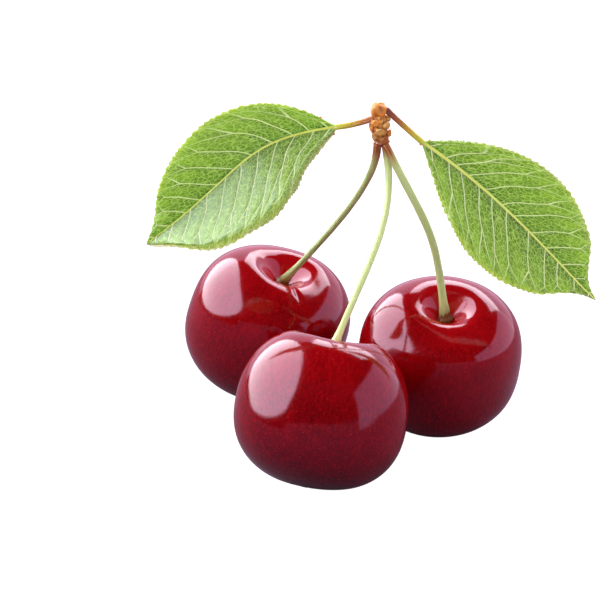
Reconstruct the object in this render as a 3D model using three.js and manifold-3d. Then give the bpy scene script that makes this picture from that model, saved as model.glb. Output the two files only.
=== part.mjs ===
// Three sweet cherries on their stalks, as picked, with the short woody spur and the two leaves that
// came off the branch with them. The cluster stands on its three fruits, and the stalks lean
// together above them. Millimetres, X to the right, Y to the back, Z up.
import * as THREE from "three";
import { mergeVertices } from "three/addons/utils/BufferGeometryUtils.js";
import Module from "manifold-3d";

const wasm = await Module();
wasm.setup();

const { cos, sin, abs, exp, sign, PI, max } = Math;
const radians = THREE.MathUtils.degToRad;
const smoothstep = THREE.MathUtils.smoothstep;
const vec = (x, y, z) => new THREE.Vector3(x, y, z);

// ---- Driving dimensions ----------------------------------------------------------------------

// Each cherry: its width across the cheeks, where its middle stands, how far its stalk end leans
// from upright and towards which bearing (0 is +X, 90 is +Y), and which way its seam faces.
const CHERRIES = {
  front: { across: 26.7, at: [0, 0], lean: 24, bearing: 65, seam: -90 },
  right: { across: 26.4, at: [19.3, 23.1], lean: 23, bearing: -79, seam: -84 },
  left: { across: 27.1, at: [-8.8, 37.6], lean: 21.5, bearing: -38, seam: -70 },
};

// The fruit's form, as shares of half its width.
const FRUIT = {
  fullness: 2.3, // the exponent of its rounded-square section: 2 would be an ellipse
  shoulder: 0.955, // height of the stalk end, before the hollow is sunk
  base: 0.88, // depth of the blossom end
  hollow: 0.295, // depth that the stalk's hollow is sunk
  hollowWidth: 0.3,
  cheek: 0.022, // how much higher the shoulders stand over the cheeks than over the seam
  cheekAt: 0.5,
  cheekWidth: 0.28,
  thickness: 0.94, // across the seam, against across the cheeks
};
const REST_FLAT = 0.17; // how deep the flesh flattens where it stands

// The spur: the foot of its woody core, how far it leans to the left, and its core and bud.
const SPUR = { foot: [9.4, 18, 49.8], lean: 5, coreHeight: 4.2, coreRadius: 0.8 };
const BUD = { width: 2.0, height: 2.0 };
const SCALES = { count: 12, width: 1.3, height: 1.4, thick: 0.55, firstAt: 0.75, lastAt: 3.9 };
const JOINT_GAP = 0.3; // clear space between pieces that grow on each other

// Each stalk: its radius in the middle, where its head meets the spur's foot, and how far and
// which way its curve sets off from the fruit and from the spur.
const STALKS = {
  front: { radius: 0.5, head: [0.6, 0.95], fromFruit: [6.2, 4.7, 14.5], fromSpur: [2.2, -1.5, -12] },
  right: { radius: 0.6, head: [0.7, -0.65], fromFruit: [-2, -0.5, 15.8], fromSpur: [7.4, 0.6, -15] },
  left: { radius: 0.5, head: [-0.65, 0], fromFruit: [9.4, -5.1, 12], fromSpur: [0.1, 4.5, -7.3] },
};
const STALK_FOOT = 0.95; // radius of the flared end on the fruit
const STALK_HEAD = 0.6; // radius where it meets the spur
const FLARE = 2.0; // length over which the flare dies away

// Each leaf: its petiole's and midrib's ends and handles, all from the spur's foot, the way that
// its upper face looks, the half widths and the upward folds of its two sides, and how much of the
// width is drawn in towards the tip. The first side is the one on the left hand of someone who
// walks along the upper face from the base to the tip.
const LEAVES = {
  left: {
    petiole: [[-2.2, -0.4, 3.9], [-3.5, -0.5, 3.3], [-5.1, -0.6, 3.0], [-6.8, -0.8, 2.9]],
    midrib: [[-6.8, -0.8, 2.9], [-22.6, -2.5, 1.1], [-20.1, -8.8, -1.2], [-36.3, -8.5, -13.6]],
    faces: [0, -0.88, 0.47],
    halfWidths: [10.7, 8.6],
    folds: [23, 22],
    tipDraw: 0.36,
  },
  right: {
    petiole: [[1.6, -0.3, 4.5], [2.9, -0.6, 3.5], [4.4, -0.9, 2.1], [6.1, -1.2, 0.7]],
    midrib: [[6.1, -1.2, 0.7], [20.3, -2.6, -8.7], [29.2, -4.6, -20.3], [33.6, -6.0, -23.7]],
    faces: [-0.06, -0.9, 0.42],
    halfWidths: [9.0, 9.3],
    folds: [7, 5],
    tipDraw: 0.62,
  },
};
const BLADE_THICK = 0.35;
const TIP_HALF_WIDTH = 0.3;
const PETIOLE_THICK = 0.85;

// ---- Shared helpers --------------------------------------------------------------------------

// Moves every vertex of a geometry through place(x, y, z), which returns a Vector3.
function reshape(geometry, place) {
  const at = geometry.getAttribute("position");
  for (let i = 0; i < at.count; i++) {
    const p = place(at.getX(i), at.getY(i), at.getZ(i));
    at.setXYZ(i, p.x, p.y, p.z);
  }
  geometry.deleteAttribute("normal");
  geometry.deleteAttribute("uv");
  return geometry;
}

// A round rod along a curve: a straight lathed rod, one unit tall, is bent so that its axis follows
// the curve. radiusAt(mm from the start) gives its radius.
function bentRod(curve, radiusAt, side, rings, sides) {
  const length = curve.getLength();
  const profile = [new THREE.Vector2(0, 0)];
  for (let i = 0; i <= rings; i++) {
    profile.push(new THREE.Vector2(radiusAt((i / rings) * length), i / rings));
  }
  profile.push(new THREE.Vector2(0, 1));
  const rod = new THREE.LatheGeometry(profile, sides);
  return reshape(rod, (x, y, z) => {
    const along = curve.getTangentAt(y);
    const right = side.clone().addScaledVector(along, -side.dot(along)).normalize();
    const front = right.clone().cross(along);
    return curve.getPointAt(y).addScaledVector(right, x).addScaledVector(front, z);
  });
}

// A closed geometry as a solid that can be cut.
function toSolid(geometry) {
  const merged = mergeVertices(geometry, 1e-4);
  const vertProperties = new Float32Array(merged.getAttribute("position").array);
  const triVerts = new Uint32Array(merged.index.array);
  return new wasm.Manifold(new wasm.Mesh({ numProp: 3, vertProperties, triVerts }));
}

// The triangles of a cut solid as a geometry.
function toGeometry(solid) {
  const mesh = solid.getMesh();
  const geometry = new THREE.BufferGeometry();
  geometry.setAttribute("position", new THREE.BufferAttribute(mesh.vertProperties, 3));
  geometry.setIndex(new THREE.BufferAttribute(mesh.triVerts, 1));
  return geometry;
}

function named(name, geometry, colour, roughness) {
  const material = new THREE.MeshStandardMaterial({ color: colour, roughness, metalness: 0 });
  const mesh = new THREE.Mesh(geometry, material);
  mesh.name = name;
  return mesh;
}

const cluster = new THREE.Group();

// ---- Cherries --------------------------------------------------------------------------------

// The turn that stands a fruit's axis where it leans and sets its seam to its bearing.
function leanOf({ lean, bearing, seam }) {
  const tilt = vec(-sin(radians(bearing)), cos(radians(bearing)), 0);
  const leaning = new THREE.Quaternion().setFromAxisAngle(tilt, radians(lean));
  const turning = new THREE.Quaternion().setFromAxisAngle(vec(0, 0, 1), radians(seam + 90));
  return leaning.multiply(turning);
}

// A point of the fruit's skin, with its stalk end up and its seam towards -Y: a rounded-square
// section turned about the axis, sunk at the stalk end, and a little higher over the cheeks.
function skinPoint(away, round, half) {
  const power = 2 / FRUIT.fullness;
  const out = sin(away) ** power;
  const rise = sign(cos(away)) * abs(cos(away)) ** power;
  let height = rise * (rise > 0 ? FRUIT.shoulder : FRUIT.base);
  if (rise > 0) {
    height -= FRUIT.hollow * exp(-((out / FRUIT.hollowWidth) ** 2));
    const nearCheek = exp(-(((out - FRUIT.cheekAt) / FRUIT.cheekWidth) ** 2));
    height += FRUIT.cheek * cos(2 * round) * nearCheek;
  }
  return vec(out * cos(round), out * sin(round) * FRUIT.thickness, height).multiplyScalar(half);
}

const FRUIT_ROUND = 32;
const FRUIT_RINGS = 22;
const RINGS_TO_STALK = 1.25; // above 1 it draws the rings closer together in the stalk's hollow
const fruitEnds = {}; // where each stalk leaves its fruit

for (const [side, fruit] of Object.entries(CHERRIES)) {
  const half = fruit.across / 2;
  const turn = leanOf(fruit);
  const ball = new THREE.SphereGeometry(1, FRUIT_ROUND, FRUIT_RINGS);
  reshape(ball, (x, y, z) => {
    const away = PI * (Math.acos(THREE.MathUtils.clamp(y, -1, 1)) / PI) ** RINGS_TO_STALK;
    return skinPoint(away, Math.atan2(-z, x), half).applyQuaternion(turn);
  });
  ball.computeBoundingBox();
  const middle = vec(...fruit.at, -ball.boundingBox.min.z - REST_FLAT);
  ball.translate(middle.x, middle.y, middle.z);

  // The ground that it has settled on cuts a small flat patch under it.
  const ground = new THREE.BoxGeometry(fruit.across, fruit.across, half);
  ground.translate(middle.x, middle.y, -half / 2);
  const settled = toSolid(ball).subtract(toSolid(reshape(ground, vec)));
  cluster.add(named(`cherry_${side}`, toGeometry(settled), 0x6e0010, 0.15));

  const hollowFloor = (FRUIT.shoulder - FRUIT.hollow) * half;
  const stalkFoot = vec(0, 0, hollowFloor + 2 * JOINT_GAP).applyQuaternion(turn);
  fruitEnds[side] = stalkFoot.add(middle);
}

// ---- Stalks ----------------------------------------------------------------------------------

const spurFoot = vec(...SPUR.foot);

for (const [side, stalk] of Object.entries(STALKS)) {
  const foot = fruitEnds[side];
  const head = spurFoot.clone().add(vec(...stalk.head, -JOINT_GAP));
  const curve = new THREE.CubicBezierCurve3(
    foot,
    foot.clone().add(vec(...stalk.fromFruit)),
    head.clone().add(vec(...stalk.fromSpur)),
    head,
  );
  const length = curve.getLength();
  const radiusAt = (mm) =>
    stalk.radius +
    (STALK_FOOT - stalk.radius) * exp(-((mm / FLARE) ** 1.5)) +
    (STALK_HEAD - stalk.radius) * exp(-(((length - mm) / (3 * FLARE)) ** 2));
  const rod = bentRod(curve, radiusAt, vec(1, 0, 0), 22, 10);
  cluster.add(named(`stalk_${side}`, rod, 0xa8b46a, 0.5));
}

// ---- Leaves ----------------------------------------------------------------------------------

// Half the blade's width at s, from 0 at its base to 1 at its tip, as a share of the widest: a
// flattened sine that is widest just before the middle, drawn in to a narrow tip.
function bladeShare(s, tipDraw) {
  return max(sin(PI * s ** 1.075), 0) ** 0.86 * (1 - tipDraw * smoothstep(s, 0.79, 0.97));
}

const LEAF_STEPS = 34;

for (const [side, leaf] of Object.entries(LEAVES)) {
  const fromFoot = (points) => points.map((p) => vec(...p).add(spurFoot));
  const petiole = new THREE.CubicBezierCurve3(...fromFoot(leaf.petiole));
  const midrib = new THREE.CubicBezierCurve3(...fromFoot(leaf.midrib));
  const path = new THREE.CurvePath();
  path.add(petiole);
  path.add(midrib);
  const bladeStart = petiole.getLength() / path.getLength();
  const faces = vec(...leaf.faces).normalize();

  // One slab runs from the spur to the tip: as thick as it is wide in the petiole, and thin and
  // wide in the blade, whose two sides fold up from the midrib.
  const slab = new THREE.BoxGeometry(1, 1, 1, LEAF_STEPS, 8, 1);
  reshape(slab, (x, y, z) => {
    const u = x + 0.5;
    const s = max((u - bladeStart) / (1 - bladeStart), 0);
    const hand = y > 0 ? 0 : 1;
    const petioleShare = 1 - smoothstep(s, 0, 0.04);
    const narrow = TIP_HALF_WIDTH + (PETIOLE_THICK / 2 - TIP_HALF_WIDTH) * petioleShare;
    const thick = BLADE_THICK + (PETIOLE_THICK - BLADE_THICK) * petioleShare;
    const out = 2 * y * max(leaf.halfWidths[hand] * bladeShare(s, leaf.tipDraw), narrow);
    const fold = radians(leaf.folds[hand]) * (1 - petioleShare);
    const along = path.getTangentAt(u);
    const across = faces.clone().cross(along).normalize();
    const up = along.clone().cross(across);
    return path
      .getPointAt(u)
      .addScaledVector(across, out * cos(fold))
      .addScaledVector(up, abs(out) * sin(fold) + z * thick);
  });
  cluster.add(named(`leaf_${side}`, slab, 0x4f8a22, 0.5));
}

// ---- Spur ------------------------------------------------------------------------------------

const spur = new THREE.Group();
spur.position.copy(spurFoot);
spur.rotation.y = -radians(SPUR.lean);
cluster.add(spur);

// The woody core is a short peg with the ring scars of past years' growth around it.
const CORE_RINGS = 12;
const SCARS = 3;
const outline = [new THREE.Vector2(0, 0)];
for (let i = 0; i <= CORE_RINGS; i++) {
  const t = i / CORE_RINGS;
  const scar = 0.94 - 0.06 * cos(2 * PI * SCARS * t);
  outline.push(new THREE.Vector2(SPUR.coreRadius * scar, t * SPUR.coreHeight));
}
outline.push(new THREE.Vector2(0, SPUR.coreHeight));
const core = new THREE.LatheGeometry(outline, 12);
core.rotateX(PI / 2);
spur.add(named("spur_core", core, 0x9a6a38, 0.8));

// The blunt bud at its end.
const bud = new THREE.SphereGeometry(0.5, 14, 10);
bud.scale(BUD.width, BUD.height, BUD.width);
bud.rotateX(PI / 2);
const budMesh = named("end_bud", bud, 0xd98432, 0.7);
budMesh.position.z = SPUR.coreHeight + JOINT_GAP + BUD.height / 2;
spur.add(budMesh);

// Dry bud scales clothe the core, each a flat oval, in the spiral that leaves and scales grow in.
const GOLDEN_ANGLE = 137.5;
for (let i = 0; i < SCALES.count; i++) {
  const oval = new THREE.SphereGeometry(0.5, 10, 8);
  oval.scale(SCALES.thick, SCALES.width, SCALES.height);
  const scale = named(`bud_scale_${i + 1}`, oval, 0xc08a4c, 0.8);
  const bearing = radians(-60 + i * GOLDEN_ANGLE);
  const out = SPUR.coreRadius + JOINT_GAP + SCALES.thick / 2;
  const climb = (SCALES.lastAt - SCALES.firstAt) / (SCALES.count - 1);
  scale.position.set(out * cos(bearing), out * sin(bearing), SCALES.firstAt + i * climb);
  scale.rotation.z = bearing;
  spur.add(scale);
}

// ---- Frame -----------------------------------------------------------------------------------

// The origin is on the ground, under the middle of the cluster's box.
const box = new THREE.Box3().setFromObject(cluster);
cluster.position.set(-(box.min.x + box.max.x) / 2, -(box.min.y + box.max.y) / 2, 0);

export default cluster;
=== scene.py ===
"""Three sweet cherries on their stalks, joined at one short woody spur that bears two leaves.

Lengths are millimetres in the tables and in the formulas, and metres once they are in a mesh.
"""

from math import radians

import bpy
import numpy as np
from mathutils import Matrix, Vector


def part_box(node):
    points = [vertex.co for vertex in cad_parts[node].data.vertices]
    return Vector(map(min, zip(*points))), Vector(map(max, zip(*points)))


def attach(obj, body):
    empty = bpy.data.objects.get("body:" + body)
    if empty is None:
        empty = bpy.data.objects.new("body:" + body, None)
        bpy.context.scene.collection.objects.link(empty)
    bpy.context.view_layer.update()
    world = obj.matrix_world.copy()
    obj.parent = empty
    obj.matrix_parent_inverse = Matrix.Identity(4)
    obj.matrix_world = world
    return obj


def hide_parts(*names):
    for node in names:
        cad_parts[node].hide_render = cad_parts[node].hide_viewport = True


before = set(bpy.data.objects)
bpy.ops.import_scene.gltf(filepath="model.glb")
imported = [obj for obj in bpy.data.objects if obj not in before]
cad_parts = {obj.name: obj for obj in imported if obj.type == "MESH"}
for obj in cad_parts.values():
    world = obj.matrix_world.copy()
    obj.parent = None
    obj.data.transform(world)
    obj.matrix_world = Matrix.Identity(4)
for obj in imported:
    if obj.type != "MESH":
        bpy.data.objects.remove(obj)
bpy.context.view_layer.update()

# ---- The cherries ----------------------------------------------------------------------------
# Ripe sweet cherries: a taut waxy skin over soft flesh and one stone. Each fruit grew around the
# end of its stalk, which leaves it a hollow with raised shoulders, a faint seam down one side
# where the flower's carpel closed, and a tiny scar at the other end where the flower's style fell.

MM = 0.001

# Each fruit: its width; where its middle stands, from the front fruit's; how many degrees its stalk
# end leans, and to which bearing; the bearing of its seam; how deep the seam is; a fuller cheek's
# bearing, degrees down from the stalk and height; how square the form is above and below its widest
# ring, where 2 is a ball; the height of its shoulders and the width of its hollow, as shares of half
# its width; and where the slow waves in its skin begin.
CHERRIES = {
    "front": {"across": 26.7, "at": (0, 0), "lean": 24, "bearing": 65, "seam": -90, "crease": 0.03,
              "upper": 2.3, "lower": 2.35, "shoulder": 0.955, "hollow": 0.3, "phase": 0.4},
    "right": {"across": 26.4, "at": (19.3, 23.1), "lean": 23, "bearing": -79, "seam": -84,
              "crease": 0.04, "cheek": (-70, 46, 1.3), "upper": 2.75, "lower": 2.5,
              "shoulder": 0.907, "hollow": 0.24, "phase": 2.2},
    "left": {"across": 27.1, "at": (-8.8, 37.6), "lean": 21.5, "bearing": -38, "seam": -70,
             "crease": 0.25, "cheek": (-65, 58, 1.0), "upper": 2.7, "lower": 2.35,
             "shoulder": 0.916, "hollow": 0.265, "phase": 4.1},
}
BASE_HEIGHT = 0.88      # of the end away from the stalk, as a share of half the width
HOLLOW_DEPTH = 0.295    # in the same share
THICKNESS = 0.94        # across the seam, against across the cheeks
SADDLE, SADDLE_AT, SADDLE_WIDTH = 0.022, 0.5, 0.28  # shoulders rise over the cheeks, not at the seam
CHEEK_SPREAD = (34, 20)  # degrees round the fruit, and down it, over which a fuller cheek fades
RIPPLE = 0.035          # how far slow waves stand off the form
SEAM_WIDTH = 0.45
SEAM_RIM, SEAM_RIM_WIDTH = 0.42, 0.17   # the seam is deepest where it crosses the hollow's rim
SEAM_SIDE, SEAM_SIDE_WIDTH = 0.12, 0.5  # and faint down the fruit's side
REST_FLAT = 0.17        # how deep the flesh flattens where it stands
SKIN_ROWS, SKIN_COLUMNS = 210, 336
ROW_CROWDING = 1.12     # gathers the rows towards the hollow
STREAK_LENGTH = 4       # streaks in the skin are this many times as long as they are wide


def linear(colour):
    """An sRGB hex colour as linear red, green, blue and an alpha of 1."""
    srgb = np.array([int(colour[i:i + 2], 16) for i in (1, 3, 5)]) / 255
    light = np.where(srgb <= 0.04045, srgb / 12.92, ((srgb + 0.055) / 1.055) ** 2.4)
    return (*light.tolist(), 1.0)


def add(tree, kind, inputs=None, **settings):
    """Adds one shader node. settings are the node's own properties, and inputs maps a socket's name
    or number to its value, or to the output of another node that feeds it. Sockets 0 to 4 of a
    MapRange are the value, the range it comes from and the range it goes to, and sockets 0, 6 and 7
    of a colour Mix are the share of the second colour and the two colours."""
    new = tree.nodes.new("ShaderNode" + kind)
    for name, value in settings.items():
        setattr(new, name, value)
    for key, value in (inputs or {}).items():
        if isinstance(value, bpy.types.NodeSocket):
            tree.links.new(value, new.inputs[key])
        else:
            new.inputs[key].default_value = value
    return new


def loft(name, rings, start, end, fields):
    """A closed skin over rings of points, in millimetres. Each ring runs anticlockwise for someone
    who looks back from the end to the start. Four-sided faces join neighbouring rings, and a fan of
    triangles closes each end on one point. fields are values that the material reads, given for
    each point of the rings, and an end takes the average of its ring."""
    count, around = rings.shape[:2]
    points = np.vstack([start, rings.reshape(-1, 3), end])
    here = 1 + np.arange(count * around).reshape(count, around)
    beside = np.roll(here, -1, axis=1)
    quads = np.stack([here[:-1], beside[:-1], beside[1:], here[1:]], axis=-1).reshape(-1, 4)
    first = np.stack([np.zeros(around, int), beside[0], here[0]], axis=-1)
    last = np.stack([np.full(around, len(points) - 1), here[-1], beside[-1]], axis=-1)
    mesh = bpy.data.meshes.new(name)
    mesh.from_pydata((points * MM).tolist(), [], quads.tolist() + first.tolist() + last.tolist())
    mesh.shade_smooth()
    for field, values in fields.items():
        size = 1 if values.ndim == 2 else values.shape[-1]
        flat = values.reshape(count, around, size)
        whole = np.vstack([flat[0].mean(0), flat.reshape(-1, size), flat[-1].mean(0)])
        kind = "FLOAT" if size == 1 else "FLOAT_VECTOR"
        stored = mesh.attributes.new(field, kind, "POINT")
        stored.data.foreach_set("value" if size == 1 else "vector", whole.astype(np.float32).ravel())
    piece = bpy.data.objects.new(name, mesh)
    bpy.context.scene.collection.objects.link(piece)
    return piece


def turned(points, axis, angle):
    """The points turned by angle degrees around a unit axis through the origin: what lies along the
    axis stays, and the rest goes round by the angle's cosine and, at right angles, its sine."""
    axis = np.asarray(axis, float)
    c, s = np.cos(radians(angle)), np.sin(radians(angle))
    along = (points @ axis)[..., None] * axis
    return points * c + np.cross(axis, points) * s + along * (1 - c)


def fruit_form(away, around, half, fruit):
    """A point of the skin, away from the stalk end and around the axis in radians, with the stalk
    end up and the seam towards -Y. Its distance from the axis is sin(away), and its height
    cos(away), each raised to 2 / squareness, which makes a rounded square. One bell curve sinks the
    stalk's hollow, and another raises the shoulders over the cheeks by the cosine of 2 around."""
    power = 2 / np.where(np.cos(away) > 0, fruit["upper"], fruit["lower"])
    out = np.sin(away) ** power
    rise = np.sign(np.cos(away)) * np.abs(np.cos(away)) ** power
    upper = np.where(rise > 0, 1.0, 0.0)
    height = rise * np.where(rise > 0, fruit["shoulder"], BASE_HEIGHT)
    height = height - upper * HOLLOW_DEPTH * np.exp(-(out / fruit["hollow"]) ** 2)
    near_rim = np.exp(-((out - SADDLE_AT) / SADDLE_WIDTH) ** 2)
    height = height + upper * SADDLE * np.cos(2 * around) * near_rim
    return np.stack([out * np.cos(around), out * np.sin(around) * THICKNESS, height], -1) * half


def leaned(points, fruit):
    """Points of the upright form turned to the fruit's own stance: first about the upright axis, to
    bring the seam to its bearing, and then about a level one, to lean the stalk end."""
    tilt = (-np.sin(radians(fruit["bearing"])), np.cos(radians(fruit["bearing"])), 0)
    return turned(turned(points, (0, 0, 1), fruit["seam"] + 90), tilt, fruit["lean"])


skin = bpy.data.materials.new("cherry_skin")
fruit_middles = {}
for side, fruit in CHERRIES.items():
    half = fruit["across"] / 2
    rows = np.linspace(1, 0, SKIN_ROWS + 2)[1:-1]
    away = (np.pi * rows ** ROW_CROWDING)[:, None]
    around = (2 * np.pi * np.arange(SKIN_COLUMNS) / SKIN_COLUMNS)[None, :]
    away, around = np.broadcast_arrays(away, around)
    form = fruit_form(away, around, half, fruit)
    poles = fruit_form(np.array([np.pi, 0.0]), np.zeros(2), half, fruit)
    # The way out from the skin, for dents and grooves that stand off the form.
    outward = form - np.array([0, 0, 0.1 * half])
    outward = outward / np.linalg.norm(outward, axis=-1, keepdims=True)
    out = np.linalg.norm(form[..., :2], axis=-1) / half
    seam_depth = np.exp(-((out - SEAM_RIM) / SEAM_RIM_WIDTH) ** 2)
    seam_depth = seam_depth + SEAM_SIDE * np.exp(-(form[..., 2] / half / SEAM_SIDE_WIDTH) ** 2)
    groove = np.where(form[..., 1] < 0, np.exp(-(form[..., 0] / SEAM_WIDTH) ** 2) * seam_depth, 0.0)
    phase = fruit["phase"]
    ripple = (np.sin(3 * around + phase) * np.sin(away * 2.1 + phase)
              + 0.6 * np.sin(5 * around - 2 * phase + away) * np.sin(away * 3.7)
              + 0.4 * np.sin(8 * around + 3 * phase - 2 * away) * np.sin(away * 5.3))
    bearing, down, height = fruit.get("cheek", (0, 0, 0))
    past = ((np.degrees(around) - (bearing - fruit["seam"] - 90) + 180) % 360 - 180) / CHEEK_SPREAD[0]
    below = (np.degrees(away) - down) / CHEEK_SPREAD[1]
    cheek = np.exp(-past ** 2 - below ** 2)
    form = form + outward * (RIPPLE * ripple - fruit["crease"] * groove + height * cheek)[..., None]
    seated = leaned(form, fruit)
    ends = leaned(poles, fruit)
    lowest = min(seated[..., 2].min(), ends[:, 2].min())
    if side == "front":
        # The front fruit meets the low corner of its CAD box, and everything else is placed from it.
        corner = np.array(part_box("cherry_front")[0]) / MM
        ORIGIN = np.array([corner[0] - seated[..., 0].min(), corner[1] - seated[..., 1].min(), 0])
    middle = np.array([*fruit["at"], -lowest - REST_FLAT]) + ORIGIN
    seated = seated + middle
    ends = ends + middle
    seated[..., 2] = np.maximum(seated[..., 2], 0)
    fruit_middles[side] = middle
    # Streaks follow the skin from end to end: round the fruit, and drawn out along each meridian.
    meridian = np.cumsum(np.linalg.norm(np.diff(form, axis=0, prepend=form[:1]), axis=-1), axis=0)
    streak = [np.cos(around) * half, np.sin(around) * half, meridian / STREAK_LENGTH]
    fields = {
        "grown": form,
        "streak": np.stack(streak, -1),
        "from_stalk": np.linalg.norm(form - poles[1], axis=-1),
        "from_blossom": np.linalg.norm(form - poles[0], axis=-1),
    }
    cherry = loft(f"cherry_skin_{side}", seated, ends[0], ends[1], fields)
    cherry.data.materials.append(skin)
    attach(cherry, "root")
    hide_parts(f"cherry_{side}")

# The skin of a ripe dark cherry: a thin clear wax over red pigment, which gives a wet-looking gloss
# with a mauve bloom. Brighter red lies in it as streaks 0.3 mm wide and 1.2 mm long, speckles of
# 0.3 mm and blotches of 5 mm, and pale pores 0.15 mm wide lie about 1.3 mm apart. Painted shade
# darkens it round the blossom end, which sits low, and it is brightest at the stalk.
skin.use_nodes = True
tree = skin.node_tree
tree.nodes.clear()
grown = add(tree, "Attribute", attribute_name="grown").outputs["Vector"]
streak = add(tree, "Attribute", attribute_name="streak").outputs["Vector"]
from_stalk = add(tree, "Attribute", attribute_name="from_stalk").outputs["Fac"]
from_blossom = add(tree, "Attribute", attribute_name="from_blossom").outputs["Fac"]
streaks = add(tree, "TexNoise", {"Vector": streak, "Scale": 3.2, "Detail": 4.0, "Roughness": 0.6})
blotches = add(tree, "TexNoise", {"Vector": grown, "Scale": 0.2, "Detail": 3.0})
speckles = add(tree, "TexNoise", {"Vector": grown, "Scale": 3.2, "Detail": 2.0, "Roughness": 0.7})
streak_share = add(tree, "MapRange", {0: streaks.outputs[0], 1: 0.42, 2: 0.72, 4: 0.5})
blotch_share = add(tree, "MapRange", {0: blotches.outputs[0], 1: 0.35, 2: 0.7})
speckle_share = add(tree, "MapRange", {0: speckles.outputs[0], 1: 0.52, 2: 0.7, 4: 0.8})
near_stalk = add(tree, "MapRange", {0: from_stalk, 1: 7.0, 2: 1.5})
near_blossom = add(tree, "MapRange", {0: from_blossom, 1: 21.0, 2: 5.0, 4: 0.85})
body = add(tree, "Mix", {0: blotch_share.outputs[0], 6: linear("#6c0004"), 7: linear("#800106")},
           data_type="RGBA")
streaked = add(tree, "Mix", {0: streak_share.outputs[0], 6: body.outputs[2], 7: linear("#ae0508")},
               data_type="RGBA")
brighter = add(tree, "Mix", {0: near_stalk.outputs[0], 6: streaked.outputs[2],
                             7: linear("#b0080e")}, data_type="RGBA")
# Painted shade: the skin darkens towards the blossom end, the fruit's low end.
painted_blossom_shade = add(tree, "Mix", {0: near_blossom.outputs[0], 6: brighter.outputs[2],
                           7: linear("#32020e")}, data_type="RGBA")
speckled = add(tree, "Mix", {0: speckle_share.outputs[0], 6: painted_blossom_shade.outputs[2],
                             7: linear("#a0060e")}, data_type="RGBA")
pores = add(tree, "TexVoronoi", {"Vector": grown, "Scale": 0.75})
pore = add(tree, "MapRange", {0: pores.outputs["Distance"], 1: 0.075, 2: 0.03, 4: 0.8})
dotted = add(tree, "Mix", {0: pore.outputs[0], 6: speckled.outputs[2], 7: linear("#a03a3e")},
             data_type="RGBA")
fine = add(tree, "TexNoise", {"Vector": grown, "Scale": 3.0, "Detail": 2.0})
bump = add(tree, "Bump", {"Height": fine.outputs[0], "Strength": 0.12, "Distance": 0.00005})
surface = add(tree, "BsdfPrincipled", {
    "Base Color": dotted.outputs[2], "Roughness": 0.11, "IOR": 1.44, "Normal": bump.outputs[0],
    "Specular Tint": linear("#f4deff")})
add(tree, "OutputMaterial", {"Surface": surface.outputs[0]})

# ---- The stalks ------------------------------------------------------------------------------
# One slender green stalk to each fruit, round, fibrous and slightly ribbed. It flares where it is
# fused to the floor of the fruit's hollow, in a corky brown collar, and where it leaves the spur.

SPUR_FOOT = np.array([9.4, 18, 49.8]) + ORIGIN
JOINT_GAP = 0.3         # what the CAD leaves open where a stalk grows in, and the rods here close

# Each stalk: its radius; where it leaves the spur's foot, to the right and back; the two handles of
# its Bezier curve, from the fruit and from the spur; which side of it the sun has reddened, in
# radians round it, and how much; how red its spur end is; how pale it is at the fruit and at the
# spur; and how far brown runs up from its foot.
STALKS = {
    "front": {"radius": 0.5, "head": (0.6, 0.95), "from_fruit": (6.2, 4.7, 14.5),
              "from_spur": (2.2, -1.5, -12), "sunny": 2.6, "red": 0.0, "head_red": 0.35,
              "pale": (0.95, 0.8), "browned": 0.0},
    "right": {"radius": 0.6, "head": (0.7, -0.65), "from_fruit": (-2, -0.5, 15.8),
              "from_spur": (7.4, 0.6, -15), "sunny": 3.3, "red": 0.0, "head_red": 0.85,
              "pale": (0.65, 0.98), "browned": 0.5},
    "left": {"radius": 0.5, "head": (-0.65, 0), "from_fruit": (9.4, -5.1, 12),
             "from_spur": (0.1, 4.5, -7.3), "sunny": 0.6, "red": 0.75, "head_red": 0.85,
             "pale": (0.0, 0.6), "browned": 0.6},
}
STALK_FOOT, STALK_HEAD = 1.0, 0.62      # radii where it is fused to the fruit and to the spur
FOOT_FLARE, HEAD_FLARE = 2.0, 6.0       # and how far along these swellings fade
COLLAR_AT, COLLAR_WIDTH = -0.05, 0.33   # the corky ring round the foot
HEAD_RED_LENGTH, CORK_LENGTH, BROWN_LENGTH = 2.6, 0.75, 2.5
FIBRE_ROUND, FIBRE_ALONG = 0.6, 0.12    # fibres are squeezed round the rod and drawn out along it
STALK_ROWS, STALK_SIDES = 220, 40
INTO_FRUIT = np.linspace(0.85, 0.1, 5)  # how far the rod goes on past both ends of its curve, into
INTO_SPUR = np.linspace(0.15, 0.45, 3)  # the fruit's flesh and the spur's wood


def even_path(curves, count, start=0.0, end=1.0):
    """Points at even steps along cubic Bezier curves that are joined end to end, the unit tangent
    at each, and how many millimetres along each one is. start and end are shares of the length."""
    t = np.linspace(0, 1, 400)[:, None]
    dense = [(1 - t) ** 3 * a + 3 * (1 - t) ** 2 * t * b + 3 * (1 - t) * t ** 2 * c + t ** 3 * d
             for a, b, c, d in np.asarray(curves, float)]
    line = np.vstack([dense[0]] + [more[1:] for more in dense[1:]])
    reach = np.concatenate([[0], np.cumsum(np.linalg.norm(np.diff(line, axis=0), axis=1))])
    along = np.linspace(start, end, count) * reach[-1]
    points = np.stack([np.interp(along, reach, line[:, k]) for k in range(3)], -1)
    slope = np.gradient(line, reach, axis=0)
    tangents = np.stack([np.interp(along, reach, slope[:, k]) for k in range(3)], -1)
    return points, tangents / np.linalg.norm(tangents, axis=1, keepdims=True), along


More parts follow.
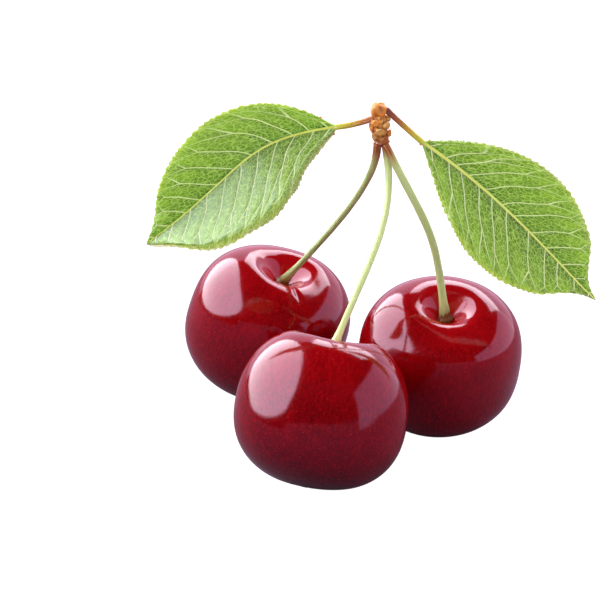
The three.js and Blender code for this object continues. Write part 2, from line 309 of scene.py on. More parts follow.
rind = bpy.data.materials.new("green_stalk_rind")
for side, stalk in STALKS.items():
    fruit = CHERRIES[side]
    axis = leaned(np.array([0, 0, 1.0]), fruit)
    floor_height = (fruit["shoulder"] - HOLLOW_DEPTH) * fruit["across"] / 2
    foot = fruit_middles[side] + axis * (floor_height + 2 * JOINT_GAP)
    head = SPUR_FOOT + np.array([*stalk["head"], -JOINT_GAP])
    curve = [foot, foot + stalk["from_fruit"], head + stalk["from_spur"], head]
    points, tangents, along = even_path([curve], STALK_ROWS - len(INTO_FRUIT) - len(INTO_SPUR))
    length = along[-1]
    points = np.vstack([foot - axis * INTO_FRUIT[:, None], points,
                        head + tangents[-1] * INTO_SPUR[:, None]])
    tangents = np.vstack([np.repeat(axis[None], len(INTO_FRUIT), 0), tangents,
                          np.repeat(tangents[-1:], len(INTO_SPUR), 0)])
    along = np.concatenate([-INTO_FRUIT, along, length + INTO_SPUR])
    right = np.array([1.0, 0, 0]) - tangents * tangents[:, :1]
    right = right / np.linalg.norm(right, axis=1, keepdims=True)
    front = np.cross(tangents, right)
    turn = (2 * np.pi * np.arange(STALK_SIDES) / STALK_SIDES)[None, :]
    mm = along[:, None]
    at_foot = np.exp(-(np.maximum(mm, 0) / FOOT_FLARE) ** 1.5)
    at_head = np.exp(-((length - mm) / HEAD_FLARE) ** 2)
    radius = (stalk["radius"] + (STALK_FOOT - stalk["radius"]) * at_foot
              + (STALK_HEAD - stalk["radius"]) * at_head)
    collar = np.exp(-((mm - COLLAR_AT) / COLLAR_WIDTH) ** 2)
    knobbly = 0.5 + 0.5 * np.sin(7 * turn + 1.3) * np.sin(4 * turn + 0.4)
    radius = radius + collar * (0.16 + 0.24 * knobbly)
    # Five broad ribs and eleven fine ones wind slowly along it, and its girth swells and shrinks.
    radius = radius * (1 + 0.018 * np.sin(5 * turn + mm * 0.12) + 0.012 * np.sin(11 * turn - mm * 0.2)
                       + 0.02 * np.sin(mm * 1.1 + 2 * turn) + 0.015 * np.sin(mm * 0.43))
    ring = (points[:, None] + right[:, None] * (radius * np.cos(turn))[..., None]
            + front[:, None] * (radius * np.sin(turn))[..., None])
    # The tone: red at the spur's end and along the side that the sun meets, how pale, and how corky.
    weather_side = 0.5 + 0.5 * np.cos(turn - stalk["sunny"])
    side_red = stalk["red"] * np.clip(1.25 - 1.9 * (length - mm) / length, 0, 1) * weather_side
    head_red = stalk["head_red"] * np.exp(-((length - mm) / HEAD_RED_LENGTH) ** 2)
    redness = np.clip(head_red + side_red, 0, 1)
    corky = (1.6 * np.exp(-((mm - 0.1) / CORK_LENGTH) ** 2)
             + stalk["browned"] * np.exp(-(mm / BROWN_LENGTH) ** 2))
    pale = np.interp(mm / length, (0, 1), stalk["pale"])
    grid = np.ones_like(radius)
    fibre_run = [np.cos(turn) * FIBRE_ROUND, np.sin(turn) * FIBRE_ROUND, mm * FIBRE_ALONG]
    fields = {
        "rind": np.stack([part * grid for part in fibre_run], -1),
        "tone": np.stack([redness * grid, pale * grid, corky * grid], -1),
    }
    rod = loft(f"stalk_rod_{side}", ring, points[0], points[-1], fields)
    rod.data.materials.append(rind)
    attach(rod, "root")
    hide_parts(f"stalk_{side}")

# The rind is fresh plant tissue, so half-matt and a little translucent: pale green, with fibres
# 0.25 mm wide and 2 mm long, reddened by the sun near the spur, and brown cork at the fruit.
rind.use_nodes = True
tree = rind.node_tree
tree.nodes.clear()
fibre_place = add(tree, "Attribute", attribute_name="rind").outputs["Vector"]
tone = add(tree, "SeparateXYZ", {0: add(tree, "Attribute", attribute_name="tone").outputs["Vector"]})
fibres = add(tree, "TexNoise", {"Vector": fibre_place, "Scale": 4.0, "Detail": 3.0})
mottle = add(tree, "TexNoise", {"Vector": fibre_place, "Scale": 1.4, "Detail": 4.0})
green = add(tree, "Mix", {0: tone.outputs[1], 6: linear("#76863a"), 7: linear("#d4ea98")},
            data_type="RGBA")
fibre_share = add(tree, "MapRange", {0: fibres.outputs[0], 1: 0.35, 2: 0.7, 4: 0.45})
fibred = add(tree, "Mix", {0: fibre_share.outputs[0], 6: green.outputs[2], 7: linear("#e2ebb4")},
             data_type="RGBA")
uneven = add(tree, "MapRange", {0: mottle.outputs[0], 1: 0.35, 2: 0.65, 3: 0.35, 4: 1.5})
redder = add(tree, "Math", {0: tone.outputs[0], 1: uneven.outputs[0]}, operation="MULTIPLY",
             use_clamp=True)
reddened = add(tree, "Mix", {0: redder.outputs[0], 6: fibred.outputs[2], 7: linear("#a6521a")},
               data_type="RGBA")
corkier = add(tree, "Math", {0: tone.outputs[2], 1: uneven.outputs[0]}, operation="MULTIPLY",
              use_clamp=True)
corked = add(tree, "Mix", {0: corkier.outputs[0], 6: reddened.outputs[2], 7: linear("#70401a")},
             data_type="RGBA")
bump = add(tree, "Bump", {"Height": fibres.outputs[0], "Strength": 0.35, "Distance": 0.00008})
surface = add(tree, "BsdfPrincipled", {
    "Base Color": corked.outputs[2], "Roughness": 0.42, "IOR": 1.45, "Normal": bump.outputs[0],
    "Subsurface Weight": 0.25, "Subsurface Radius": (0.0006, 0.0007, 0.0002),
    "Subsurface Scale": 1.0})
add(tree, "OutputMaterial", {"Surface": surface.outputs[0]})

# ---- The spur --------------------------------------------------------------------------------
# The short fruiting twig, grown a little each year: a woody core ringed with scars, the dry brown
# scales of its buds crowded around it in a spiral, and next year's bud, blunt and orange, on top.

SPUR_LEAN = 5           # degrees
CORE_BOTTOM, CORE_TOP = -0.35, 4.9      # the top is inside the bud
CORE_HEIGHTS = [-0.35, -0.1, 0.25, 0.6, 1.2, 2.2, 3.2, 4.0, 4.5, 4.9]
CORE_RADII = [0.95, 1.1, 1.2, 1.12, 0.98, 1.05, 1.12, 1.1, 0.95, 0.5]
SCALE_COUNT, GOLDEN_ANGLE = 12, 137.5
SCALE_FIRST, SCALE_LAST = 0.75, 3.9     # heights of the lowest and the highest scale
SCALE_THICK, SCALE_WIDE, SCALE_TALL = 0.85, 1.35, 1.15
BUD_MIDDLE, BUD_HALF_WIDTH, BUD_HALF_HEIGHT = 5.4, 1.3, 1.05


def on_spur(points):
    """Points given upright from the spur's foot, leaned to the left with the spur."""
    return turned(points, (0, 1, 0), -SPUR_LEAN) + SPUR_FOOT


bark = bpy.data.materials.new("twig_bark")
turn = (2 * np.pi * np.arange(72) / 72)[None, :]
height = np.linspace(CORE_BOTTOM, CORE_TOP, 90)[:, None]
# Scars ring the core in uneven steps, crossed by six and by eleven ridges.
rough = (0.07 * np.sin(height * 9.0 + 0.8 * np.sin(3 * turn)) + 0.06 * np.sin(6 * turn + 2.1 * height)
         + 0.05 * np.sin(11 * turn - 3.3 * height + 1.0))
radius = np.interp(height, CORE_HEIGHTS, CORE_RADII) + rough
ring = on_spur(np.stack([radius * np.cos(turn), radius * np.sin(turn), height + 0 * turn], -1))
ends = on_spur(np.array([[0, 0, CORE_BOTTOM], [0, 0, CORE_TOP]]))
# What the material reads: how orange it is, how far it stands out of the creases, for painted shade,
# and how red.
base_red = np.exp(-(np.maximum(height, 0) / 0.8) ** 2) + 0 * turn
fields = {"knob": np.stack([0.25 + 0 * radius, 0.5 - 4 * rough, base_red], -1)}
core = loft("spur_wood", ring, ends[0], ends[1], fields)
core.data.materials.append(bark)
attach(core, "root")
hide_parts("spur_core")


def dry_scale(name, centre, size, facing, seed, tint, red):
    """One dry scale, in the shape of a shell: a ball squared off and stretched to size (outward,
    across, up), with ridges that fan up it, a lip bent outward at its top, and its outer side
    turned to the bearing facing."""
    away = np.linspace(np.pi, 0, 30)[1:-1][:, None]
    around = (2 * np.pi * np.arange(44) / 44)[None, :]
    wide = np.sin(away) ** 0.8
    ridges = (0.05 * np.sin(5 * around + seed) * np.sin(away)
              + 0.025 * np.sin(9 * around - 2 * seed + 3 * away)
              + 0.05 * np.sin(3 * around + 4 * away + seed * 1.7))
    x = wide * np.cos(around) * (1 + ridges) * size[0] / 2
    y = wide * np.sin(around) * (1 + ridges) * size[1] / 2
    z = np.cos(away) * (1 + 0.5 * ridges) * size[2] / 2
    lip = 0.3 * size[0]
    x = x + lip * np.clip(z / size[2] * 2, 0, 1) ** 2
    tips = np.array([[0, 0, -size[2] / 2], [lip, 0, size[2] / 2]])
    shell = on_spur(turned(np.stack([x, y, z], -1), (0, 0, 1), facing) + centre)
    tips = on_spur(turned(tips, (0, 0, 1), facing) + centre)
    # The second value sets painted shade: dark at the scale's two ends and in the troughs of its
    # ridges.
    values = np.stack([tint + 0 * x, 0.1 + 0.8 * np.sin(away) ** 0.7 + 2 * ridges, red + 0 * x], -1)
    piece = loft(name, shell, tips[0], tips[1], {"knob": values})
    piece.data.materials.append(bark)
    return piece


for i in range(SCALE_COUNT):
    bearing = -60 + i * GOLDEN_ANGLE
    climb = SCALE_FIRST + i * (SCALE_LAST - SCALE_FIRST) / (SCALE_COUNT - 1)
    out = 1.02 + 0.3 * min(climb / 2.6, 1) + 0.06 * np.sin(2.3 * i)
    centre = (out * np.cos(radians(bearing)), out * np.sin(radians(bearing)), climb)
    size = (SCALE_THICK, SCALE_WIDE + 0.15 * np.sin(1.9 * i), SCALE_TALL + 0.15 * np.cos(2.7 * i))
    tint = 0.5 + 0.5 * np.sin(2.1 * i + 0.6)
    red = np.exp(-(climb / 1.5) ** 2)
    scale = dry_scale(f"dry_scale_{i + 1}", centre, size, bearing, 1.3 * i, tint, red)
    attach(scale, "root")
    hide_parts(f"bud_scale_{i + 1}")

# Next year's bud: its own scales still overlap tightly, so it is one blunt block, round-cornered in
# plan and in height, with lobes that wind up it.
away = np.linspace(np.pi, 0, 60)[1:-1][:, None]
around = (2 * np.pi * np.arange(80) / 80)[None, :]
square = np.abs(np.sin(away)) ** 0.6
lobes = 0.075 * np.sin(3 * around + 1.9 * away) + 0.06 * np.sin(5 * around - 2.4 * away + 1)
corner = 1 / (np.abs(np.cos(around)) ** 4 + np.abs(np.sin(around)) ** 4) ** 0.25
radius = square * corner * (0.86 + lobes) * BUD_HALF_WIDTH
rise = np.sign(np.cos(away)) * np.abs(np.cos(away)) ** 0.7 * BUD_HALF_HEIGHT
rise = rise + 0.12 * np.sin(3 * around + 1.0) * np.clip(np.cos(away), 0, 1)
bud_middle = np.array([-0.05, 0, BUD_MIDDLE])
ring = on_spur(np.stack([radius * np.cos(around), radius * np.sin(around), rise], -1) + bud_middle)
ends = on_spur(np.array([[0, 0, -BUD_HALF_HEIGHT], [0, 0, BUD_HALF_HEIGHT]]) + bud_middle)
# The second value sets painted shade in the grooves between the lobes.
fields = {"knob": np.stack([1.25 + 0 * radius, 0.45 + 3 * lobes, 0 * radius], -1)}
bud = loft("blunt_bud", ring, ends[0], ends[1], fields)
bud.data.materials.append(bark)
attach(bud, "root")
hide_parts("end_bud")

# Bark and dry scales: dead cork and papery plant skin, so matt. Tan to orange in patches of 1 mm,
# with painted shade dark in the creases, wine-red where the stalks come out, and roughened by grain of
# 0.3 mm.
bark.use_nodes = True
tree = bark.node_tree
tree.nodes.clear()
place = add(tree, "TexCoord").outputs["Object"]
kind = add(tree, "SeparateXYZ", {0: add(tree, "Attribute", attribute_name="knob").outputs["Vector"]})
patches = add(tree, "TexNoise", {"Vector": place, "Scale": 900.0, "Detail": 4.0})
grain = add(tree, "TexNoise", {"Vector": place, "Scale": 3500.0, "Detail": 3.0})
tan = add(tree, "Mix", {0: kind.outputs[0], 6: linear("#d6a04c"), 7: linear("#ef8a18")},
          data_type="RGBA")
patch_share = add(tree, "MapRange", {0: patches.outputs[0], 1: 0.45, 2: 0.72, 4: 0.5})
patched = add(tree, "Mix", {0: patch_share.outputs[0], 6: tan.outputs[2], 7: linear("#f3c274")},
              data_type="RGBA")
# Painted shade: dark brown laid into the creases of the core, scales and bud.
crease = add(tree, "MapRange", {0: kind.outputs[1], 1: 0.55, 2: 0.05, 4: 0.85})
crease_shaded = add(tree, "Mix", {0: crease.outputs[0], 6: patched.outputs[2], 7: linear("#8a4612")},
              data_type="RGBA")
reddish = add(tree, "Math", {0: kind.outputs[2], 1: 0.85}, operation="MULTIPLY")
wined = add(tree, "Mix", {0: reddish.outputs[0], 6: crease_shaded.outputs[2], 7: linear("#7a2418")},
            data_type="RGBA")
bump = add(tree, "Bump", {"Height": grain.outputs[0], "Strength": 0.6, "Distance": 0.0001})
surface = add(tree, "BsdfPrincipled", {"Base Color": wined.outputs[2], "Roughness": 0.62,
                                       "Normal": bump.outputs[0]})
add(tree, "OutputMaterial", {"Surface": surface.outputs[0]})

# ---- The leaves ------------------------------------------------------------------------------
# Two cherry leaves, each on its own stalk, the petiole, and each one piece: a thin fleshy blade
# with a toothed edge, stiffened by a midrib and eleven or so side veins on each half, which fork and
# meet before the edge, with a fine net between. Two pin-head nectar glands sit at its beginning.

# Each leaf: the Bezier curves of its petiole and midrib, from the spur's foot; the way its upper
# face looks; for its two halves, first the left one as seen over that face from petiole to tip,
# their widths, how many degrees each folds up, how far its margin turns under, and where its side
# veins leave the midrib, as shares of its length; how much its tip is drawn in; how red its petiole
# is; and its glands, each by mm along the blade and by its half, 1 for the first and -1 for the second.
LEAVES = {
    "left": {
        "petiole": [(-0.8, -0.2, 4.3), (-2.9, -0.4, 3.5), (-5.0, -0.6, 3.0), (-6.8, -0.8, 2.9)],
        "midrib": [(-6.8, -0.8, 2.9), (-22.6, -2.5, 1.1), (-20.1, -8.8, -1.2), (-36.3, -8.5, -13.6)],
        "faces": (0, -0.88, 0.47), "half_widths": (11.1, 8.6), "folds": (28, 22),
        "curls": (0.85, 0), "tip_draw": 0.36,
        "veins": ((0.03, 0.10, 0.19, 0.27, 0.36, 0.46, 0.55, 0.65, 0.75, 0.85, 0.94),
                  (0.04, 0.12, 0.20, 0.29, 0.40, 0.50, 0.60, 0.69, 0.78, 0.87, 0.95)),
        "red": 0.2, "glands": ((0.75, 1), (2.5, -1)),
    },
    "right": {
        "petiole": [(0.35, -0.3, 5.8), (2.1, -0.6, 4.2), (4.2, -0.9, 2.3), (6.1, -1.2, 0.7)],
        "midrib": [(6.1, -1.2, 0.7), (20.3, -2.6, -8.7), (29.2, -4.6, -20.3), (33.6, -6.0, -23.7)],
        "faces": (-0.06, -0.9, 0.42), "half_widths": (9.0, 9.3), "folds": (7, 5),
        "curls": (0.34, 0.34), "tip_draw": 0.62,
        "veins": ((0.04, 0.12, 0.175, 0.245, 0.33, 0.43, 0.50, 0.60, 0.69, 0.79, 0.87, 0.95),
                  (0.05, 0.14, 0.21, 0.30, 0.375, 0.46, 0.59, 0.69, 0.77, 0.87, 0.95)),
        "red": 1.0, "glands": ((0.1, -1), (1.0, 1)),
    },
}
BLADE_THICK, TIP_HALF_WIDTH, PETIOLE_THICK = 0.3, 0.12, 0.9
LEAF_ROWS, LEAF_COLUMNS = 300, 150      # along the leaf, and across each face
TOOTH_LENGTH, TOOTH_DEPTH = 0.95, 0.28
TOOTH_PEAK = 0.72                       # a tooth rises over this share of its length
VEIN_ANGLE, VEIN_CURVE = 50, 0.035      # how side veins leave the midrib, and bend to the tip
FORK_FROM, FORK_TO = 0.64, 0.93         # shares of the half width where a side vein forks, and where
                                        # its arms meet those of its neighbours
PILLOW = 0.09                           # how far the blade bulges up between side veins
WAVE = 0.32                             # and how far its margin waves up and down
CURL_FROM = 0.84                        # from this share of the half width it turns under
RIB, RIB_SPREAD = 0.42, 0.5             # how far the midrib stands out below, over what distance
VEIN_RIB, VEIN_RIB_SPREAD = 0.13, 0.2   # the same for a side vein
CHANNEL, CHANNEL_SPREAD = 0.1, 0.25     # and for the groove over the midrib on the upper face
GLAND, GLAND_DIMPLE = 0.45, 0.25        # how wide a gland is, and how deep the dimple in its crown


def smooth(x, low, high):
    """A rise from 0 at low to 1 at high, level at both ends: 3 t squared less 2 t cubed."""
    t = np.clip((x - low) / (high - low), 0, 1)
    return t * t * (3 - 2 * t)


blade = bpy.data.materials.new("cherry_leaf_blade")
bead_skin = bpy.data.materials.new("nectar_gland_wax")
for side, leaf in LEAVES.items():
    curves = [[np.array(p) + SPUR_FOOT for p in leaf[part]] for part in ("petiole", "midrib")]
    spine, forward, along = even_path(curves, LEAF_ROWS + 2)
    petiole_length = even_path(curves[:1], 9)[2][-1]
    blade_length = along[-1] - petiole_length
    spine, forward, along = spine[:, None], forward[:, None], along[:, None]
    s = np.maximum((along - petiole_length) / blade_length, 0)
    # A ring runs over the upper face from one edge to the other, and back under the lower face.
    across_share = np.linspace(-1, 1, LEAF_COLUMNS)
    v_face = np.sign(across_share) * (1 - (1 - np.abs(across_share)) ** 1.25)
    v = np.concatenate([v_face[::-1], v_face])[None, :]
    under = np.concatenate([np.zeros(LEAF_COLUMNS), np.ones(LEAF_COLUMNS)])[None, :]
    # v is a point's share of the half width, positive on the first of the leaf's two halves.
    half_width = np.where(v > 0, leaf["half_widths"][0], leaf["half_widths"][1])
    fold = np.where(v > 0, leaf["folds"][0], leaf["folds"][1])
    outline = np.maximum(np.sin(np.pi * s ** 1.075), 0) ** 0.86
    outline = outline * (1 - leaf["tip_draw"] * smooth(s, 0.79, 0.97))
    petiole_share = 1 - smooth(s, 0, 0.03)
    base_thick = PETIOLE_THICK * (1 + 0.2 * np.exp(-(along / 1.3) ** 2))
    base_thick = base_thick * np.sqrt(np.clip(along / 0.5, 0.04, 1))
    narrow = TIP_HALF_WIDTH + (base_thick / 2 - TIP_HALF_WIDTH) * petiole_share
    # Teeth: each rises slowly along the edge and falls back sharply on the side of the tip.
    tooth_phase = (along / TOOTH_LENGTH + 0.3 * np.sin(along * 0.9 + v)) % 1
    tooth = np.minimum(tooth_phase / TOOTH_PEAK, (1 - tooth_phase) / (1 - TOOTH_PEAK))
    tooth = TOOTH_DEPTH * tooth * smooth(s, 0.02, 0.12) * (1 - 0.6 * smooth(s, 0.85, 1.0))
    reach = np.maximum(half_width * outline, narrow)
    edge = smooth(np.abs(v), 0.84, 1.0)
    out = v * reach + np.sign(v) * (tooth - TOOTH_DEPTH * 0.5) * edge * (1 - petiole_share)
    far = np.abs(out)
    # Side veins: each point is traced back along its vein's curve to where it left the midrib. The
    # phase counts veins, whole on one and half between two, and gap is the distance between them.
    x = along - petiole_length
    wander = 0.09 * np.sin(0.9 * far + 1.7 * x / 3) + 0.07 * np.sin(2.1 * far - x)
    lean = far / np.tan(radians(VEIN_ANGLE)) + VEIN_CURVE * far ** 2 + wander
    source = x - lean
    # Two veins that start before the blade and one beyond it carry the count past both ends.
    phases, gaps = [], []
    for starts in leaf["veins"]:
        at = np.array([-12.0, -6.0, *(np.array(starts) * blade_length), blade_length + 4])
        number = np.arange(len(at), dtype=float)
        phases.append(np.interp(source, at, number))
        gaps.append(np.interp(source, (at[1:] + at[:-1]) / 2, np.diff(at)))
    phase = np.where(v > 0, phases[0], phases[1])
    gap = np.where(v > 0, gaps[0], gaps[1]) * np.sin(radians(VEIN_ANGLE))
    fork_from = FORK_FROM + 0.1 * np.sin(2.4 * np.round(phase) + 1.3 * np.sign(v))
    forked = 0.5 * np.clip((np.abs(v) - fork_from) / (FORK_TO - fork_from), 0, 1)
    to_vein = np.abs(np.abs(phase - np.round(phase)) - forked) * gap
    midrib_width = 0.11 + 0.17 * (1 - s)
    to_midrib = far / midrib_width
    # Relief: the blade bulges between veins, waves towards its edge, and the ribs stand out below.
    blade_share = 1 - petiole_share
    inner = smooth(far, 0.2, 1.6) * (1 - smooth(np.abs(v), 0.8, 1.0))
    lift = PILLOW * inner * (1 - np.exp(-(to_vein / 0.5) ** 2))
    lift = lift + WAVE * np.sin(x * 0.8 + 2.2 * np.sign(v)) * np.abs(v) ** 3 * smooth(s, 0.05, 0.25)
    curl = np.where(v > 0, leaf["curls"][0], leaf["curls"][1])
    lift = lift - curl * np.clip((np.abs(v) - CURL_FROM) / (1 - CURL_FROM), 0, 1) ** 2
    lift = lift * blade_share
    thick = BLADE_THICK + (base_thick - BLADE_THICK) * petiole_share
    roundness = 2 + 10 * blade_share
    section = np.sqrt(np.maximum(1 - np.abs(v) ** roundness, 0))
    face = np.where(under > 0, -1.0, 1.0)
    ribs = RIB * (1 - 0.6 * s) * np.exp(-(far / RIB_SPREAD) ** 2)
    ribs = ribs + VEIN_RIB * np.exp(-(to_vein / VEIN_RIB_SPREAD) ** 2) * inner
    channel = CHANNEL * np.exp(-(far / CHANNEL_SPREAD) ** 2)
    depth = face * thick / 2 * section - under * ribs * blade_share - (1 - under) * channel
    angle = np.radians(fold) * blade_share
    faces = np.array(leaf["faces"]) / np.linalg.norm(leaf["faces"])
    across = np.cross(faces, forward)
    across = across / np.linalg.norm(across, axis=-1, keepdims=True)
    up = np.cross(forward, across)
    side_way = across * (np.sign(v) * np.cos(angle))[..., None] + up * np.sin(angle)[..., None]
    normal = up * np.cos(angle)[..., None] - across * (np.sign(v) * np.sin(angle))[..., None]
    shape = spine + side_way * far[..., None] + normal * (lift + depth)[..., None]
    grid = np.ones_like(shape[..., 0])
    ring = shape[1:-1]
    # What the material reads. place: midrib widths out, which face, share of the half width. vein:
    # the count of veins, the gap between them, how far a vein's arms have spread. net: a place along
    # and across that leans as the veins do. zone: petiole or blade, how far from the spur, how red.
    spur_share = np.clip(along / petiole_length, 0, 1)
    fields = {
        "place": np.stack([to_midrib * grid, under * grid, np.abs(v) * grid], -1)[1:-1],
        "vein": np.stack([phase * grid, gap * grid, forked * gap * grid], -1)[1:-1],
        "net": np.stack([source * grid, far * 1.25 * grid * np.sign(v), under * grid], -1)[1:-1],
        "zone": np.stack([petiole_share * grid, spur_share * grid, leaf["red"] * grid], -1)[1:-1],
    }
    piece = loft(f"leaf_blade_{side}", ring, spine[0, 0], spine[-1, 0], fields)
    piece.data.materials.append(blade)
    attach(piece, "root")
    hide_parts(f"leaf_{side}")

    # Nectar glands: shiny round beads on the margin, each with a dimple in its crown.
    for number, (past, hand) in enumerate(leaf["glands"], 1):
        row = int(np.argmin(np.abs(x[:, 0] - past)))
        column = int(np.argmax(v[0] * hand))
        away = np.linspace(np.pi, 0, 18)[1:-1][:, None]
        around = (2 * np.pi * np.arange(28) / 28)[None, :]
        dimple = 1 - GLAND_DIMPLE * np.exp(-(away / 0.5) ** 2)
        out, rise = np.sin(away) * dimple, np.cos(away) * dimple + 0 * around
        bead = np.stack([out * np.cos(around), out * np.sin(around), rise], -1) * GLAND / 2
        tips = np.array([[0, 0, -GLAND / 2], [0, 0, (1 - GLAND_DIMPLE) * GLAND / 2]])
        middle = shape[row, column]
        gland_ring = turned(bead, (1, 0, 0), 60) + middle
        gland_ends = turned(tips, (1, 0, 0), 60) + middle
        gland = loft(f"nectar_gland_{side}_{number}", gland_ring, gland_ends[0], gland_ends[1],
                     {"crown": np.clip(np.cos(away), 0, 1) + 0 * around})
        gland.data.materials.append(bead_skin)
        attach(gland, "root")

# The glands are smooth waxy beads, orange at the crown and yellow-green round the foot, in clouds
# of 0.2 mm.
bead_skin.use_nodes = True
tree = bead_skin.node_tree
tree.nodes.clear()
crown = add(tree, "Attribute", attribute_name="crown").outputs["Fac"]
clouds = add(tree, "TexNoise", {"Vector": add(tree, "TexCoord").outputs["Object"], "Scale": 5000.0})
share = add(tree, "Math", {0: crown, 1: clouds.outputs[0]}, operation="ADD")
crown_share = add(tree, "MapRange", {0: share.outputs[0], 1: 0.5, 2: 1.2})
tinted = add(tree, "Mix", {0: crown_share.outputs[0], 6: linear("#b9b04a"), 7: linear("#d8a04e")},
             data_type="RGBA")
surface = add(tree, "BsdfPrincipled", {"Base Color": tinted.outputs[2], "Roughness": 0.25,
                                       "IOR": 1.45})
add(tree, "OutputMaterial", {"Surface": surface.outputs[0]})

# The blade is living leaf: waxy on top, so half-glossy, green with light passing through it,
# with painted shade darkest beside the midrib and each side vein, paler veins sunk into it, and duller
# and paler underneath.
blade.use_nodes = True
tree = blade.node_tree
tree.nodes.clear()
place = add(tree, "SeparateXYZ", {0: add(tree, "Attribute", attribute_name="place").outputs["Vector"]})
vein = add(tree, "SeparateXYZ", {0: add(tree, "Attribute", attribute_name="vein").outputs["Vector"]})
net = add(tree, "Attribute", attribute_name="net").outputs["Vector"]
zone = add(tree, "SeparateXYZ", {0: add(tree, "Attribute", attribute_name="zone").outputs["Vector"]})
# Side veins and their arms are 0.2 mm wide, and the net's meshes about 0.8 mm and 0.4 mm across.
nearest = add(tree, "Math", {0: vein.outputs[0], 1: 0.5}, operation="PINGPONG")
to_vein = add(tree, "Math", {0: nearest.outputs[0], 1: vein.outputs[1]}, operation="MULTIPLY")
from_fork = add(tree, "Math", {0: to_vein.outputs[0], 1: vein.outputs[2]}, operation="SUBTRACT")
from_line = add(tree, "Math", {0: from_fork.outputs[0]}, operation="ABSOLUTE")
side_vein = add(tree, "MapRange", {0: from_line.outputs[0], 1: 0.12, 2: 0.035},
                interpolation_type="SMOOTHSTEP")
before_edge = add(tree, "MapRange", {0: place.outputs[2], 1: 0.95, 2: 0.65, 3: 0.25, 4: 1.0})
side_vein = add(tree, "Math", {0: side_vein.outputs[0], 1: before_edge.outputs[0]},
                operation="MULTIPLY")
midrib = add(tree, "MapRange", {0: place.outputs[0], 1: 1.15, 2: 0.75},
             interpolation_type="SMOOTHSTEP")
coarse = add(tree, "TexVoronoi", {"Vector": net, "Scale": 1.25}, feature="DISTANCE_TO_EDGE")
coarse_net = add(tree, "MapRange", {0: coarse.outputs["Distance"], 1: 0.085, 2: 0.02})
fine = add(tree, "TexVoronoi", {"Vector": net, "Scale": 2.3}, feature="DISTANCE_TO_EDGE")
fine_net = add(tree, "MapRange", {0: fine.outputs["Distance"], 1: 0.14, 2: 0.03})
shade = add(tree, "TexNoise", {"Vector": net, "Scale": 0.35, "Detail": 3.0})
# Painted shade: the green darkens towards the midrib and beside each side vein, and is lighter between
# them and towards the margin, over a random unevenness of tone.
toward_edge = add(tree, "MapRange", {0: place.outputs[2], 1: 0.0, 2: 0.8, 3: 0.15, 4: 1.5})
tone_and_painted_shade = add(tree, "Math", {0: toward_edge.outputs[0], 1: shade.outputs[0]}, operation="MULTIPLY")
off_vein = add(tree, "MapRange", {0: to_vein.outputs[0], 1: 0.0, 2: 1.1, 3: 0.6, 4: 1.25})
tone_and_painted_shade = add(tree, "Math", {0: tone_and_painted_shade.outputs[0], 1: off_vein.outputs[0]},
                  operation="MULTIPLY", use_clamp=True)
green = add(tree, "Mix", {0: tone_and_painted_shade.outputs[0], 6: linear("#274b04"), 7: linear("#749b1a")},
            data_type="RGBA")
fine_share = add(tree, "Math", {0: fine_net.outputs[0], 1: 0.46}, operation="MULTIPLY")
green = add(tree, "Mix", {0: fine_share.outputs[0], 6: green.outputs[2], 7: linear("#a3ca52")},
            data_type="RGBA")
coarse_share = add(tree, "Math", {0: coarse_net.outputs[0], 1: 0.62}, operation="MULTIPLY")
green = add(tree, "Mix", {0: coarse_share.outputs[0], 6: green.outputs[2], 7: linear("#b2d172")},
            data_type="RGBA")
vein_share = add(tree, "Math", {0: side_vein.outputs[0], 1: 0.92}, operation="MULTIPLY")
green = add(tree, "Mix", {0: vein_share.outputs[0], 6: green.outputs[2], 7: linear("#dcebb6")},
            data_type="RGBA")
green = add(tree, "Mix", {0: place.outputs[1], 6: green.outputs[2], 7: linear("#8ba070")},
            data_type="RGBA")
green = add(tree, "Mix", {0: midrib.outputs[0], 6: green.outputs[2], 7: linear("#d9e07e")},
            data_type="RGBA")
# The petiole: brown-red where it leaves the spur, then orange, then the midrib's yellow-green.
ripe = add(tree, "MapRange", {0: zone.outputs[1], 1: 0.35, 2: 1.0})
stem = add(tree, "Mix", {0: ripe.outputs[0], 6: linear("#b8702c"), 7: linear("#c3c142")},
           data_type="RGBA")
rusty = add(tree, "MapRange", {0: zone.outputs[1], 1: 0.6, 2: 0.0})
rust_share = add(tree, "Math", {0: rusty.outputs[0], 1: zone.outputs[2]}, operation="MULTIPLY")
stem = add(tree, "Mix", {0: rust_share.outputs[0], 6: stem.outputs[2], 7: linear("#6e2a20")},
           data_type="RGBA")
colour = add(tree, "Mix", {0: zone.outputs[0], 6: green.outputs[2], 7: stem.outputs[2]},
             data_type="RGBA")
relief = add(tree, "Math", {0: side_vein.outputs[0], 1: -1.0, 2: 0.0}, operation="MULTIPLY_ADD")
relief = add(tree, "Math", {0: coarse_net.outputs[0], 1: -0.5, 2: relief.outputs[0]},
             operation="MULTIPLY_ADD")
relief = add(tree, "Math", {0: fine_net.outputs[0], 1: -0.25, 2: relief.outputs[0]},
             operation="MULTIPLY_ADD")
bump = add(tree, "Bump", {"Height": relief.outputs[0], "Strength": 0.5, "Distance": 0.0001})
surface = add(tree, "BsdfPrincipled", {
    "Base Color": colour.outputs[2], "Roughness": 0.37, "IOR": 1.5, "Specular IOR Level": 0.66,
    "Specular Tint": linear("#e6f0ff"), "Normal": bump.outputs[0],
    "Subsurface Weight": 0.6, "Subsurface Radius": (0.0014, 0.0018, 0.0008),
    "Subsurface Scale": 1.0})
add(tree, "OutputMaterial", {"Surface": surface.outputs[0]})

# ---- Floor, light and camera -----------------------------------------------------------------
# A plain white laminate table in a dark studio: a big oval softbox on the left, a smaller one high
# behind, and mauve-white cards behind, at the right and low in front. The ceiling and the front of
# the room give a weak fill, and are too dull to be mirrored.

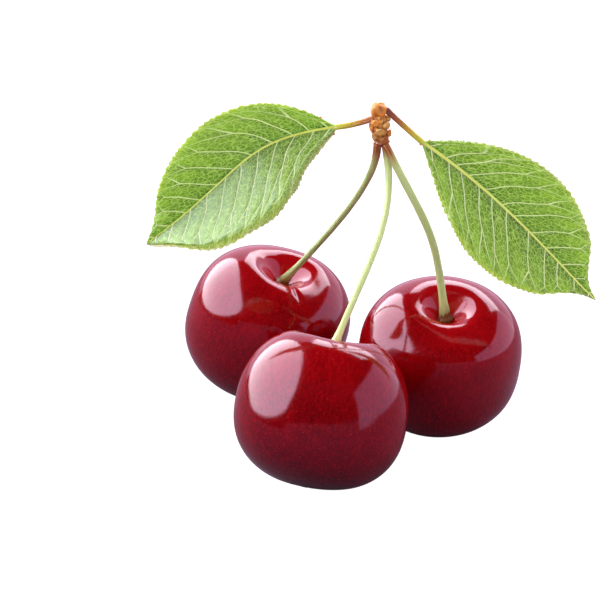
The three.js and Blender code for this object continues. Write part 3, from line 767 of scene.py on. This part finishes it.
floor_mesh = bpy.data.meshes.new("floor")
corners = [(-4, -4, 0), (4, -4, 0), (4, 4, 0), (-4, 4, 0)]
floor_mesh.from_pydata(corners, [], [(0, 1, 2, 3)])
floor = bpy.data.objects.new("floor", floor_mesh)
bpy.context.scene.collection.objects.link(floor)
table = bpy.data.materials.new("white_table")
table.use_nodes = True
tree = table.node_tree
tree.nodes.clear()
# Seen directly it is overexposed to white; what the fruit mirrors is its real, duller surface.
seen = add(tree, "LightPath").outputs["Is Camera Ray"]
laminate = add(tree, "BsdfDiffuse", {"Color": (0.2, 0.16, 0.215, 1)})
glare = add(tree, "Emission", {"Strength": seen})
both = add(tree, "AddShader", {0: laminate.outputs[0], 1: glare.outputs[0]})
add(tree, "OutputMaterial", {"Surface": both.outputs[0]})
floor_mesh.materials.append(table)

# Each light: where its middle is, what it faces, its size in metres, shape, radiance and colour. The
# left softbox is two lamps, one for its light and one only for its mirror image, brighter than its
# light alone would make it, and a little nearer, because lamps at one place hide each other.
WHITE, MAUVE = "#ffffff", "#f6e2ff"
FOOT = (0, 0, 0.02)
LIGHTS = {
    "softbox_left": ((-0.64, 0.14, 0.50), FOOT, (1.95, 1.08), "ELLIPSE", 3.0, WHITE),
    "softbox_left_gloss": ((-0.63, 0.138, 0.492), FOOT, (1.92, 1.06), "ELLIPSE", 9.0, WHITE),
    "softbox_top": ((0.33, 0.70, 0.66), FOOT, (0.72, 0.42), "RECTANGLE", 7.0, WHITE),
    "backdrop": ((0, 1.2, 0.6), (0, 0, 0.6), (2.6, 1.2), "RECTANGLE", 1.5, MAUVE),
    "card_right": ((0.6, 0.0, 0.25), (0, 0, 0.25), (1.15, 0.5), "RECTANGLE", 1.9, MAUVE),
    "card_front": ((0, -0.62, 0.065), (0, 0, 0.065), (1.2, 0.13), "RECTANGLE", 0.35, MAUVE),
    "ceiling": ((0, 0, 1.2), (0, 0, 0), (3.0, 3.0), "RECTANGLE", 0.6, WHITE),
    "room_front": ((0, -1.5, 0.8), FOOT, (2.5, 1.5), "RECTANGLE", 0.9, WHITE),
}
UNMIRRORED = ("ceiling", "room_front", "softbox_left")
for name, (place, target, size, shape, radiance, colour) in LIGHTS.items():
    lamp = bpy.data.lights.new(name, "AREA")
    lamp.shape = shape
    lamp.size, lamp.size_y = size
    area = size[0] * size[1] * (np.pi / 4 if shape == "ELLIPSE" else 1)
    lamp.energy = radiance * np.pi * area
    lamp.color = linear(colour)[:3]
    holder = bpy.data.objects.new(name, lamp)
    holder.location = place
    facing = Vector(place) - Vector(target)
    holder.rotation_euler = facing.to_track_quat("Z", "Y").to_euler()
    holder.visible_camera = False
    holder.visible_diffuse = not name.endswith("_gloss")
    holder.visible_glossy = name not in UNMIRRORED
    bpy.context.scene.collection.objects.link(holder)

# The camera sees plain white all round, and the fruit mirrors a dark studio.
world = bpy.data.worlds.new("dark_studio")
world.use_nodes = True
tree = world.node_tree
tree.nodes.clear()
ray = add(tree, "LightPath")
seen = add(tree, "Mix", {0: ray.outputs["Is Camera Ray"], 6: (0.01, 0.01, 0.01, 1),
                         7: (1, 1, 1, 1)}, data_type="RGBA")
sky = add(tree, "Background", {"Color": seen.outputs[2]})
add(tree, "OutputWorld", {"Surface": sky.outputs[0]})
bpy.context.scene.world = world

# It looks down at 20 degrees from about 0.4 m away, through a long lens.
camera = bpy.data.cameras.new("camera")
camera.lens = 156.48
camera.sensor_width = 36
camera.clip_start = 0.02
holder = bpy.data.objects.new("camera", camera)
holder.location = (-0.01124, -0.3893, 0.16533)
holder.rotation_euler = (radians(70), 0, 0)
bpy.context.scene.collection.objects.link(holder)
bpy.context.scene.camera = holder
bpy.context.scene.view_settings.view_transform = "Standard"
